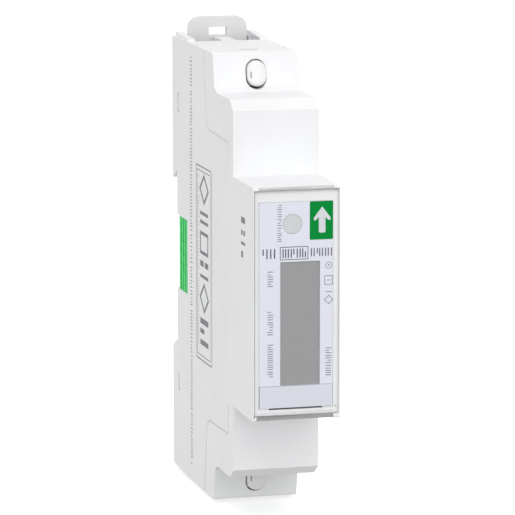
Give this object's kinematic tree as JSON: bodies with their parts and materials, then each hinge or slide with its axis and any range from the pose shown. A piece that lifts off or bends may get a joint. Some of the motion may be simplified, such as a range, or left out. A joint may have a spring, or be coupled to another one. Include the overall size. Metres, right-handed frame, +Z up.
{
  "type": "rail-mounted electricity meter",
  "caption": "Narrow upright rail-mounted electricity meter with a stepped nose, display, push bar, clamp terminals and rail clips.",
  "frame": {"origin": "centre of the rail seat, the flat rear face that lies against the mounting rail", "axes": "+Z up along the body, +X to the right seen from the front, +Y from the nose towards the rail"},
  "size_m": [0.0176, 0.0667, 0.0958],
  "materials": {
    "housing_plastic": "fine moulded texture",
    "cover_plastic": "fine moulded texture",
    "clear_plastic": "polished clear plastic",
    "label_film": "printed film",
    "green_film": "printed seal film",
    "clip_plastic": "moulded",
    "cap_plastic": "polished",
    "screw_steel": "zinc plated",
    "cage_steel": "zinc plated",
    "copper_bar": "rolled",
    "shunt_alloy": "rolled",
    "button_plastic": "moulded",
    "black_plastic": "moulded",
    "display_glass": "reflective display",
    "white_plastic": "moulded",
    "contact_rubber": "matte",
    "diffuser_plastic": "frosted",
    "pipe_plastic": "frosted",
    "led_plastic": "clear tinted",
    "board_laminate": "solder mask",
    "can_metal": "drawn can",
    "capacitor_sleeve": "sleeved",
    "film_yellow": "epoxy box",
    "varistor_coat": "epoxy coat",
    "ferrite": "sintered",
    "lead_sleeve": "sleeved wire",
    "terminal_green": "moulded"
  },
  "bodies": {
    "housing": {"rear_housing": "housing_plastic", "front_cover": "cover_plastic", "clear_window": "clear_plastic", "face_label": "label_film", "seal_label": "green_film", "upper_busbar": "copper_bar", "lower_busbar": "copper_bar", "shunt": "shunt_alloy", "button_switch": "black_plastic", "lcd_glass": "display_glass", "lcd_frame": "white_plastic", "contact_strips": "contact_rubber", "backlight": "diffuser_plastic", "light_pipe": "pipe_plastic", "pulse_led": "led_plastic", "display_board": "board_laminate", "main_board": "board_laminate", "board_header": "black_plastic", "metering_chip": "black_plastic", "processor_chip": "black_plastic", "crystal": "can_metal", "reservoir_capacitors": "capacitor_sleeve", "film_capacitor": "film_yellow", "varistor": "varistor_coat", "choke": "ferrite", "optocouplers": "white_plastic", "sense_leads": "lead_sleeve", "signal_terminal": "terminal_green"},
    "upper_clip": {"upper_rail_clip": "clip_plastic"},
    "lower_clip": {"lower_rail_clip": "clip_plastic"},
    "upper_screw": {"upper_clamp_screw": "screw_steel"},
    "lower_screw": {"lower_clamp_screw": "screw_steel"},
    "upper_cage": {"upper_clamp_cage": "cage_steel"},
    "lower_cage": {"lower_clamp_cage": "cage_steel"},
    "upper_cap": {"upper_screw_cap": "cap_plastic"},
    "lower_cap": {"lower_screw_cap": "cap_plastic"},
    "scroll_bar": {"scroll_button": "button_plastic"}
  },
  "joints": [
    {"name": "upper_clip_slide", "type": "slide", "parent": "housing", "child": "upper_clip", "axis": [0, 0, 1], "range_m": [0, 0.0035], "stiffness_N_per_m": 800, "springref_m": -0.001},
    {"name": "lower_clip_slide", "type": "slide", "parent": "housing", "child": "lower_clip", "axis": [0, 0, -1], "range_m": [0, 0.0035], "stiffness_N_per_m": 800, "springref_m": -0.001},
    {"name": "upper_screw_turn", "type": "hinge", "parent": "housing", "child": "upper_screw", "pos_m": [0, -0.02, 0.04135], "axis": [0, 1, 0], "range_deg": [0, 2165]},
    {"name": "lower_screw_turn", "type": "hinge", "parent": "housing", "child": "lower_screw", "pos_m": [0, -0.02, -0.04135], "axis": [0, 1, 0], "range_deg": [0, 2165]},
    {"name": "upper_cage_slide", "type": "slide", "parent": "housing", "child": "upper_cage", "axis": [0, -1, 0], "range_m": [0, 0.0042]},
    {"name": "lower_cage_slide", "type": "slide", "parent": "housing", "child": "lower_cage", "axis": [0, -1, 0], "range_m": [0, 0.0042]},
    {"name": "upper_cap_lift", "type": "slide", "parent": "housing", "child": "upper_cap", "axis": [0, -1, 0], "range_m": [0, 0.012]},
    {"name": "lower_cap_lift", "type": "slide", "parent": "housing", "child": "lower_cap", "axis": [0, -1, 0], "range_m": [0, 0.012]},
    {"name": "scroll_press", "type": "slide", "parent": "housing", "child": "scroll_bar", "axis": [0, 1, 0], "range_m": [0, 0.0005], "stiffness_N_per_m": 1500, "springref_m": -0.0004}
  ],
  "couplings": [
    {"joint": "upper_screw_turn", "follows": "upper_cage_slide", "rad_per_m": 8976},
    {"joint": "lower_screw_turn", "follows": "lower_cage_slide", "rad_per_m": 8976}
  ]
}
